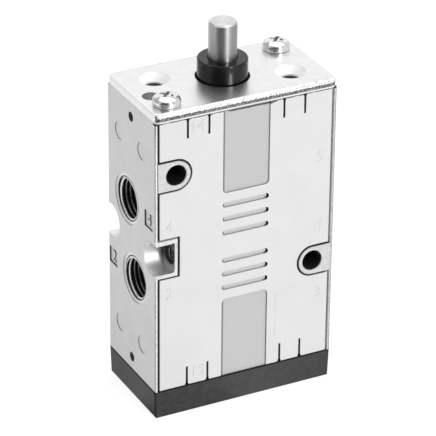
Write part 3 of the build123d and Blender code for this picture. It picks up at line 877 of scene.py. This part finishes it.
rubberFinish = makeMoulded("sealRubber", sealRubber)
spacerFinish = makeMoulded("spacerPlastic", spacerPlastic)
springFinish = makeHazy("springSteel", springSteel, Metallic=1.0)
screwFinish = makeHazy("platedScrew", platedScrew, Metallic=0.92)
gasketFinish = makeGasket()
paint("guide_bush", makeHazy("blackBush", blackBush, Metallic=0.0, IOR=1.44))
paint("plunger", makeTurned("turnedSteel", turnedSteel))
paint("spool", makeTurned("turnedAluminium", turnedAluminium))
paint("end_cap", makeEndCapPlastic())
paint("top_gasket", gasketFinish)
paint("spring_seat", makeHazy("seatBrass", seatBrass, Metallic=1.0))
for nodeName in frame["nodes"]:
    if nodeName.startswith("spool_seal") or nodeName in ("plunger_seal", "end_cap_seal"):
        paint(nodeName, rubberFinish)
    if nodeName.startswith("spacer_cage") or nodeName.endswith("_sleeve"):
        paint(nodeName, spacerFinish)
print("bush, plunger, cap and inner pieces painted")


# Helpers for modelling. A piece is modelled in millimetres and scaled down when it is finished.

def deselectAll():
    bpy.ops.object.select_all(action="DESELECT")


def makeActive(thing):
    deselectAll()
    thing.select_set(True)
    bpy.context.view_layer.objects.active = thing


def remove(thing):
    makeActive(thing)
    bpy.ops.object.delete()


def selectAll():
    bpy.ops.mesh.select_all(action="SELECT")


def startEdit():
    bpy.ops.object.mode_set(mode="EDIT")
    selectAll()


def startPiece(addPrimitive, **settings):
    deselectAll()
    addPrimitive(**settings)
    startEdit()
    return bpy.context.object


def endEdit():
    # out of edit mode, with all faces turned outwards
    selectAll()
    bpy.ops.mesh.normals_make_consistent(inside=False)
    bpy.ops.object.mode_set(mode="OBJECT")


def move(x, y, z):
    bpy.ops.transform.translate(value=(x, y, z))


def extrudeTo(rise, ratio=1.0):
    # takes the selected cap on by this rise, and scales it round the axis
    bpy.ops.mesh.extrude_region_move(TRANSFORM_OT_translate={"value": (0, 0, rise)})
    bpy.ops.transform.resize(value=(ratio, ratio, 1), center_override=(0, 0, 0))


def cutEnds(start, end):
    # cuts all away below start and above end, and closes the cuts
    for level, upward in ((start, False), (end, True)):
        selectAll()
        bpy.ops.mesh.bisect(
            plane_co=(0, 0, level),
            plane_no=(0, 0, 1),
            use_fill=True,
            clear_inner=not upward,
            clear_outer=upward,
        )


def pickFaces(thing, test):
    mesh = bmesh.from_edit_mesh(thing.data)
    for vert in mesh.verts:
        vert.select = False
    for face in mesh.faces:
        face.select = bool(test(face.calc_center_median(), face.normal))
    mesh.select_flush(True)
    bmesh.update_edit_mesh(thing.data)


def pickVerts(thing, test):
    mesh = bmesh.from_edit_mesh(thing.data)
    for part in (*mesh.faces, *mesh.edges):
        part.select = False
    for vert in mesh.verts:
        vert.select = bool(test(vert.co))
    mesh.select_flush(True)
    bmesh.update_edit_mesh(thing.data)


def copyOf(thing):
    makeActive(thing)
    bpy.ops.object.duplicate(linked=False)
    return bpy.context.object


def joinInto(first, *others):
    makeActive(first)
    for other in others:
        other.select_set(True)
    bpy.ops.object.join()
    return first


def applyPlace(thing, place):
    thing.matrix_world = place @ thing.matrix_world
    makeActive(thing)
    bpy.ops.object.transform_apply(location=True, rotation=True, scale=True)


def standAt(thing, origin, xWay, zWay):
    # puts a piece's own x and z along these ways, in millimetres
    applyPlace(thing, placing(origin, xWay, zWay.cross(xWay), zWay))


def finishPiece(thing, name, material, smoothAngle=30):
    thing.name = name
    applyPlace(thing, Matrix.Scale(mm, 4))
    bpy.ops.object.shade_smooth_by_angle(angle=radians(smoothAngle))
    thing.data.materials.clear()
    thing.data.materials.append(material)
    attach(thing, "housing")


def cutThread(look, start, end):
    # a helical ridge round z between two levels, its crest at level 0 where x is greatest
    root = look["rootRadius"]
    crest = look["crestRadius"]
    pitch = look["pitch"]
    ridge = startPiece(bpy.ops.mesh.primitive_plane_add, size=1)
    bpy.ops.transform.resize(value=(abs(root - crest), 1, 1))
    move((root + crest) / 2, 0, 0)
    mesh = bmesh.from_edit_mesh(ridge.data)
    # stands the square up, wide at the root and narrow at the crest
    for vert in mesh.verts:
        atCrest = abs(vert.co.x - crest) < abs(vert.co.x - root)
        half = look["crestHalf"] if atCrest else look["rootHalf"]
        vert.co = Vector((vert.co.x, 0, half if vert.co.y > 0 else -half))
    bmesh.update_edit_mesh(ridge.data)
    pickVerts(ridge, lambda co: abs(co.x - crest) < 0.01)
    bpy.ops.mesh.bevel(offset=look["crestHalf"] * 0.7, segments=2, affect="VERTICES")
    selectAll()
    bpy.ops.mesh.delete(type="ONLY_FACE")
    selectAll()
    move(0, 0, int((start - 2 * pitch) // pitch) * pitch)
    bpy.ops.object.mode_set(mode="OBJECT")
    screw = ridge.modifiers.new("thread", "SCREW")
    screw.axis = "Z"
    screw.angle = 2 * pi
    screw.screw_offset = pitch
    screw.iterations = int((end - start) // pitch) + 5
    screw.steps = look["stepsPerTurn"]
    screw.render_steps = look["stepsPerTurn"]
    bpy.ops.object.modifier_apply(modifier="thread")
    startEdit()
    bpy.ops.mesh.remove_doubles(threshold=0.0005)
    cutEnds(start, end)
    endEdit()
    return ridge


# Squeezed-out edge of the gasket, which fills the groove between body and plate

gasketEdge = {
    "cornerRadius": 1.8,
    "cornerSegments": 6,
    "inset": 0.02,
    "width": 0.6,
}


def makeGasketEdge():
    look = gasketEdge
    inset = look["inset"]
    gasketLow, gasketHigh = boxMm("top_gasket")
    ring = startPiece(bpy.ops.mesh.primitive_plane_add, size=2)
    bpy.ops.transform.resize(value=(bodyHigh.x - inset, bodyHigh.y - inset, 1))
    bpy.ops.mesh.bevel(offset=look["cornerRadius"], segments=look["cornerSegments"], affect="VERTICES")
    selectAll()
    bpy.ops.mesh.inset(thickness=look["width"])
    bpy.ops.mesh.delete(type="FACE")
    selectAll()
    extrudeTo(gasketHigh.z - gasketLow.z - 2 * inset)
    endEdit()
    standAt(ring, Vector((0, 0, gasketLow.z + inset)), rightWay, upWay)
    finishPiece(ring, "gasketEdge", gasketFinish)


makeGasketEdge()
print("gasket edge modelled")


# Threads of the five ports, and of the holes in the notches

portThread = {
    "pitch": 1.337,
    "rootRadius": 6.62,      # just behind the bore's wall
    "crestRadius": 5.72,
    "rootHalf": 0.52,
    "crestHalf": 0.14,
    "stepsPerTurn": 56,
    "start": 0.42,           # just below the mouth's flat
    "end": 11.3,
    "crestDepth": {"port_4": 1.25, "port_2": 1.45},      # of the first crest, on the back side
}
notchThread = {
    "pitch": 0.8,
    "rootRadius": 2.13,
    "crestRadius": 1.84,
    "rootHalf": 0.30,
    "crestHalf": 0.06,
    "stepsPerTurn": 40,
    "start": 0.5,
    "end": 8.4,
}
# painted highlights on the crests, lighter near the mouth and at the entry, painted shade on the flanks
threadFinish = {"crest": 0.8, "deepCrest": 0.5, "notchCrest": 0.7, "flank": 0.03, "entryRadius": 6.175}


def makeThreadFinish():
    look = threadFinish
    # painted highlights on the crests, darker deeper in, and painted shade on the flanks
    material, shader, place = newFinish("cutThread", Metallic=0.85)
    sided = sidedPlace(place)
    portDistance = nearestAxis(sided, sideAxes(portNames))
    notchDistance = nearestAxis(sided, sideAxes(notchNames))
    depth = depthUnderSide(place)
    chatter = noise(place, 2.5, 3.0, 0.6)
    portCrest = within(portDistance, portThread["crestRadius"] + 0.2, 0.15)
    notchCrest = within(notchDistance, notchThread["crestRadius"] + 0.085, 0.065)
    crestShade = times(fade(depth, 1.3, 2.2, look["crest"], look["deepCrest"]), cloudy(chatter, 0.8, 1.1))
    entry = allOf(within(depth, 1.4, 0.2), within(portDistance, look["entryRadius"], 0.075))
    shade = mix(portCrest, look["flank"], crestShade)
    shade = layered(shade, (notchCrest, look["notchCrest"]), (entry, crestShade))
    rough = cloudy(chatter, 0.24, 0.36)
    setSockets(shader, Base_Color=shade, Roughness=rough, Normal=bump(chatter, 0.1, 0.03))
    return material


def makeThreads():
    finish = makeThreadFinish()
    start = portThread["start"]
    end = portThread["end"]
    pitch = portThread["pitch"]
    model = cutThread(portThread, start - 4 * pitch, end + 1.5)      # longer than a port, to shift and cut
    for name in portNames:
        place = mountMm(name)
        inward = -Vector(mounts[name]["axis"])
        ridge = copyOf(model)
        startEdit()
        move(0, 0, portThread["crestDepth"].get(name, start + pitch / 3))
        cutEnds(start, end)
        bpy.ops.object.mode_set(mode="OBJECT")
        standAt(ridge, Vector((-inward.x * bodyHigh.x, place.y, place.z)), backWay, inward)
        finishPiece(ridge, name.replace("port_", "portThread"), finish, 40)
    remove(model)
    model = cutThread(notchThread, notchThread["start"], notchThread["end"])
    for name in notchNames:
        place = mountMm(name)
        ridge = copyOf(model)
        place.x = bodyLow.x + castBody["notchDepth"]
        standAt(ridge, place, backWay, -Vector(mounts[name]["axis"]))
        side = "Front" if place.y < 0 else "Back"
        finishPiece(ridge, "notchThread" + side, finish, 40)
    remove(model)


makeThreads()
print("threads cut")


# Pan head screws with a cross recess

panScrew = {
    "headRadius": 3.95,
    "headHeight": 2.9,
    "headSegments": 56,
    "sideTop": 0.95,
    "crownPower": 2.3,
    "crownRings": 11,
    "underInset": 0.42,
    "underRise": 0.38,
    "recessAcross": 4.2,
    "recessSlot": 1.0,
    "recessDepth": 1.8,
    "recessShoulder": 0.8,   # share of the depth where the walls close in
    "recessTaper": (0.62, 0.4),
    "plateShank": 10.8,
    "capShank": 12.2,
    "coreRadius": 1.6,
    "tip": 0.5,
    "tipTaper": 0.72,
    "neck": 0.5,
    "turn": radians(45),
    "turnSpread": radians(2),
}
screwThread = {
    "pitch": 0.7,
    "rootRadius": 1.57,
    "crestRadius": 2.0,
    "rootHalf": 0.29,
    "crestHalf": 0.06,
    "stepsPerTurn": 40,
}


def makeRecessCutter():
    look = panScrew
    above = 0.5              # how far the cutter stands out of the head
    across = look["recessAcross"]
    half = across / 6
    slot = look["recessSlot"] / 2 / half
    shoulder = look["recessDepth"] * look["recessShoulder"]
    cutter = startPiece(bpy.ops.mesh.primitive_grid_add, x_subdivisions=3, y_subdivisions=3, size=across)
    for axis, ratios in enumerate(((slot, 1, 1), (1, slot, 1))):
        pickVerts(cutter, lambda co: abs(co[axis]) < half * 1.5)
        bpy.ops.transform.resize(value=ratios, center_override=(0, 0, 0))
    pickFaces(cutter, lambda middle, normal: min(abs(middle.x), abs(middle.y)) > half / 2)
    bpy.ops.mesh.delete(type="FACE")
    selectAll()
    move(0, 0, look["headHeight"] + above)
    extrudeTo(-above)
    extrudeTo(-shoulder, look["recessTaper"][0])
    extrudeTo(shoulder - look["recessDepth"], look["recessTaper"][1])
    endEdit()
    return cutter


def makePanScrew(shank):
    look = panScrew
    full = look["headRadius"]
    inset = look["underInset"]
    screw = startPiece(
        bpy.ops.mesh.primitive_circle_add,
        vertices=look["headSegments"],
        radius=full - inset,
        fill_type="NGON",
    )
    bpy.ops.mesh.normals_make_consistent(inside=False)

    # the head's side and its domed top, ring by ring
    rings = [
        (full - inset * 0.3, look["underRise"] * 0.35),
        (full - 0.05, look["underRise"]),
        (full, look["sideTop"]),
    ]
    power = 2 / look["crownPower"]
    crown = look["headHeight"] - look["sideTop"]
    for step in range(1, look["crownRings"] + 1):
        angle = step / (look["crownRings"] + 0.6) * pi / 2
        rings.append((full * cos(angle) ** power, look["sideTop"] + crown * sin(angle) ** power))
    ringRadius = full - inset
    ringLevel = 0.0
    for radius, level in rings:
        extrudeTo(level - ringLevel, radius / ringRadius)
        ringRadius = radius
        ringLevel = level

    # the core of the shank and its tip
    pickFaces(screw, lambda middle, normal: middle.z < 0.01 and abs(normal.z) > 0.9)
    extrudeTo(0, look["coreRadius"] / (full - inset))
    extrudeTo(look["tip"] - shank)
    extrudeTo(-look["tip"], look["tipTaper"])
    endEdit()

    cutter = makeRecessCutter()
    makeActive(screw)
    recess = screw.modifiers.new("recess", "BOOLEAN")
    recess.operation = "DIFFERENCE"
    recess.solver = "EXACT"
    recess.object = cutter
    bpy.ops.object.modifier_apply(modifier="recess")
    remove(cutter)
    return joinInto(screw, cutThread(screwThread, look["tip"] - shank, -look["neck"]))


def makeScrewPair(node, name, shank, seat, zWay):
    high = boxMm(node)[1]
    inset = panScrew["headRadius"]
    model = makePanScrew(shank)
    pair = []
    for side in (-1, 1):
        screw = copyOf(model)
        screw.matrix_world = Matrix.Rotation(panScrew["turn"] + side * panScrew["turnSpread"], 4, "Z")
        standAt(screw, Vector((side * (high.x - inset), side * (high.y - inset), seat)), rightWay, zWay)
        pair.append(screw)
    remove(model)
    screws = joinInto(*pair)
    finishPiece(screws, name, screwFinish, 35)
    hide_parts(node)


capSeat = boxMm("end_cap_screws")[0].z + panScrew["headHeight"]
makeScrewPair("top_plate_screws", "plateScrews", panScrew["plateShank"], plateHigh.z, upWay)
makeScrewPair("end_cap_screws", "capScrews", panScrew["capShank"], capSeat, -upWay)
print("screws made")


# Raised port numbers on the cover and in the two squares on the left side, and a bare raised field

raisedNumbers = {
    "size": 4.9,
    "rise": 0.13,
    "bevel": 0.04,
    "places": {                   # x from the middle, z from the body's middle
        "14": (-14.85, 38.5),
        "4": (-23.25, 9.7),
        "2": (-23.2, -11.1),
        "5": (23.15, 21.1),
        "1": (23.75, -0.3),
        "3": (23.45, -21.7),
        "12": (-14.35, -38.0),
    },
}
sideNumbers = {
    "size": 5.0,
    "rise": 0.3,
    "bevel": 0.06,
    "floorDepth": 0.4,
    "places": {"4": (-10.9, 11.05), "2": (11.7, -11.05)},     # y from the middle, z from the body's middle
}
bareField = {
    "left": 9.75,
    "right": 19.0,
    "bottom": -33.4,
    "top": -18.2,
    "rise": 0.07,
    "edge": 0.06,
    "corner": 0.8,
}


def makeNumber(body, look):
    lift = (look["rise"] - look["bevel"]) / 2
    deselectAll()
    bpy.ops.object.text_add()
    number = bpy.context.object
    number.data.body = body
    number.data.size = look["size"]
    number.data.align_x = "CENTER"
    number.data.align_y = "CENTER"
    number.data.resolution_u = 4
    number.data.extrude = lift
    number.data.bevel_depth = look["bevel"]
    number.data.bevel_resolution = 1
    number.data.offset = -look["bevel"]
    bpy.ops.object.convert(target="MESH")
    number = bpy.context.object
    startEdit()
    bpy.ops.mesh.remove_doubles(threshold=0.001)
    move(0, 0, lift)
    bpy.ops.object.mode_set(mode="OBJECT")
    return number


def makeNumbers():
    made = []
    for body, (x, rise) in raisedNumbers["places"].items():
        number = makeNumber(body, raisedNumbers)
        standAt(number, Vector((x, coverLow.y, bodyMiddle + rise)), rightWay, -backWay)
        made.append(number)
    finishPiece(joinInto(*made), "coverNumbers", coverFinish, 40)
    made = []
    for body, (y, rise) in sideNumbers["places"].items():
        number = makeNumber(body, sideNumbers)
        place = Vector((bodyLow.x + sideNumbers["floorDepth"], y, bodyMiddle + rise))
        standAt(number, place, -backWay, -rightWay)
        made.append(number)
    finishPiece(joinInto(*made), "sideNumbers", bodyFinish, 40)


def makeBareField():
    look = bareField
    field = startPiece(bpy.ops.mesh.primitive_plane_add, size=1)
    bpy.ops.transform.resize(value=(look["right"] - look["left"], look["top"] - look["bottom"], 1))
    bpy.ops.mesh.bevel(offset=look["corner"], segments=5, affect="VERTICES")
    selectAll()
    extrudeTo(look["rise"] * 0.6)
    bpy.ops.mesh.inset(thickness=look["edge"], depth=look["rise"] * 0.4)
    endEdit()
    x = (look["left"] + look["right"]) / 2
    rise = (look["bottom"] + look["top"]) / 2
    standAt(field, Vector((x, coverLow.y, bodyMiddle + rise)), rightWay, -backWay)
    finishPiece(field, "bareField", coverFinish, 20)


makeNumbers()
makeBareField()
print("numbers and bare field raised")


# Return spring with closed, ground ends

returnSpring = {
    "wireRadius": 0.45,
    "bevelResolution": 4,        # of the round wire
    "turns": 6.0,
    "closedTurns": 1.1,
    "pointsPerTurn": 24,
    "seatHeight": 0.25,          # ground away from each end
}


def makeReturnSpring():
    look = returnSpring
    wire = look["wireRadius"]
    low, high = boxMm("return_spring")
    coilRadius = high.x - wire
    length = high.z - low.z
    count = int(look["turns"] * look["pointsPerTurn"])
    closed = look["closedTurns"] / look["turns"]
    firstLevel = wire - look["seatHeight"]
    closedRise = look["closedTurns"] * 2 * wire
    openRise = length - 2 * firstLevel - 2 * closedRise
    deselectAll()
    bpy.ops.curve.primitive_bezier_curve_add()
    spring = bpy.context.object
    spring.data.splines.clear()
    spline = spring.data.splines.new("POLY")
    spline.points.add(count)
    for index, point in enumerate(spline.points):
        share = index / count
        turn = share * look["turns"] * 2 * pi
        if share < closed:
            level = firstLevel + closedRise * share / closed
        elif share > 1 - closed:
            level = length - firstLevel - closedRise * (1 - share) / closed
        else:
            level = firstLevel + closedRise + openRise * (share - closed) / (1 - 2 * closed)
        point.co = (coilRadius * cos(turn), coilRadius * sin(turn), low.z + level, 1)
    spring.data.bevel_depth = wire
    spring.data.bevel_resolution = look["bevelResolution"]
    spring.data.use_fill_caps = True
    bpy.ops.object.convert(target="MESH")
    spring = bpy.context.object
    startEdit()
    bpy.ops.mesh.remove_doubles(threshold=0.0005)
    cutEnds(low.z, high.z)
    endEdit()
    finishPiece(spring, "springCoil", springFinish, 50)
    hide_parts("return_spring")
    return spring


springCoil = makeReturnSpring()
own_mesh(springCoil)
print("return spring wound")
